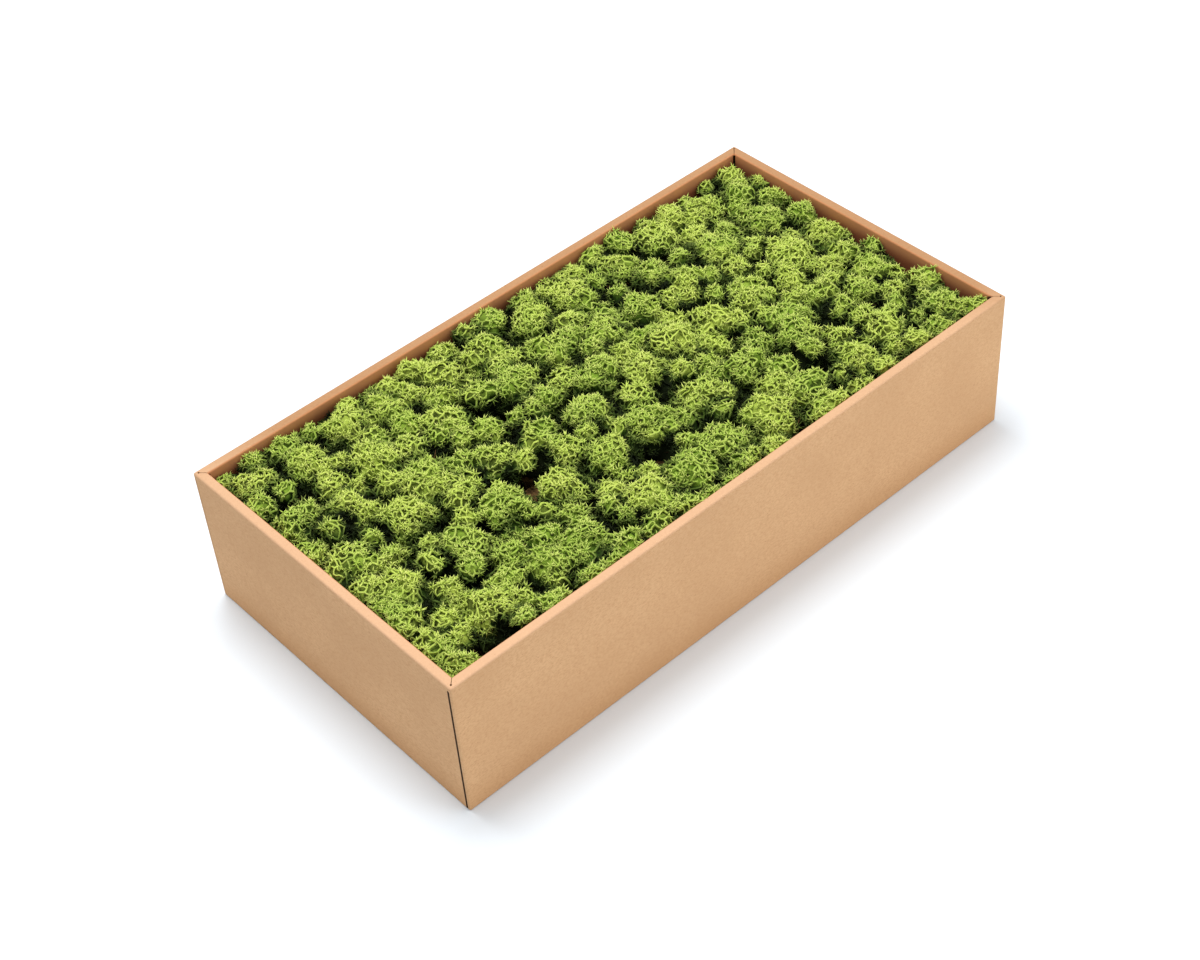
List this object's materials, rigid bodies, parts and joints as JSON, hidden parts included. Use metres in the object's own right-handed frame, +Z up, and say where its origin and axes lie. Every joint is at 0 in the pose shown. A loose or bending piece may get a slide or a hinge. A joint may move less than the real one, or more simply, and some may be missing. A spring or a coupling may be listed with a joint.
{
  "type": "reindeer moss in a cardboard tray",
  "caption": "Open kraft cardboard tray with folded double walls, filled to the rim with pressed clumps of light green preserved reindeer moss.",
  "frame": {"origin": "middle of the tray's flat underside", "axes": "+Z up out of the open tray, +X along its length, +Y across it"},
  "size_m": [0.5, 0.265, 0.1227],
  "materials": {
    "kraft_board": "matt brown kraft paper with fine fibres and a slightly paler rim",
    "moss": "matt, light yellow-green tips over darker green and brown stalks"
  },
  "bodies": {
    "root": {"kraft_tray": "kraft_board", "moss_clump_01": "moss", "moss_clump_02": "moss", "moss_clump_03": "moss", "moss_clump_04": "moss", "moss_clump_05": "moss", "moss_clump_06": "moss", "moss_clump_07": "moss", "moss_clump_08": "moss", "moss_clump_09": "moss", "moss_clump_10": "moss", "moss_clump_11": "moss", "moss_clump_12": "moss", "moss_clump_13": "moss", "moss_clump_14": "moss", "moss_clump_15": "moss", "moss_clump_16": "moss", "moss_clump_17": "moss", "moss_clump_18": "moss", "moss_clump_19": "moss", "moss_clump_20": "moss", "moss_clump_21": "moss", "moss_clump_22": "moss", "moss_clump_23": "moss", "moss_clump_24": "moss", "moss_clump_25": "moss", "moss_clump_26": "moss", "moss_clump_27": "moss", "moss_clump_28": "moss", "moss_clump_29": "moss", "moss_clump_30": "moss", "moss_clump_31": "moss", "moss_clump_32": "moss", "moss_clump_33": "moss", "moss_clump_34": "moss", "moss_clump_35": "moss", "moss_clump_36": "moss", "moss_clump_37": "moss", "moss_clump_38": "moss", "moss_clump_39": "moss", "moss_clump_40": "moss", "moss_clump_41": "moss", "moss_clump_42": "moss", "moss_clump_43": "moss", "moss_clump_44": "moss", "moss_clump_45": "moss", "moss_clump_46": "moss", "moss_clump_47": "moss", "moss_clump_48": "moss", "moss_clump_49": "moss", "moss_clump_50": "moss", "moss_clump_51": "moss", "moss_clump_52": "moss", "moss_clump_53": "moss", "moss_clump_54": "moss", "moss_clump_55": "moss", "moss_clump_56": "moss", "moss_clump_57": "moss", "moss_clump_58": "moss", "moss_clump_59": "moss"}
  },
  "joints": []
}
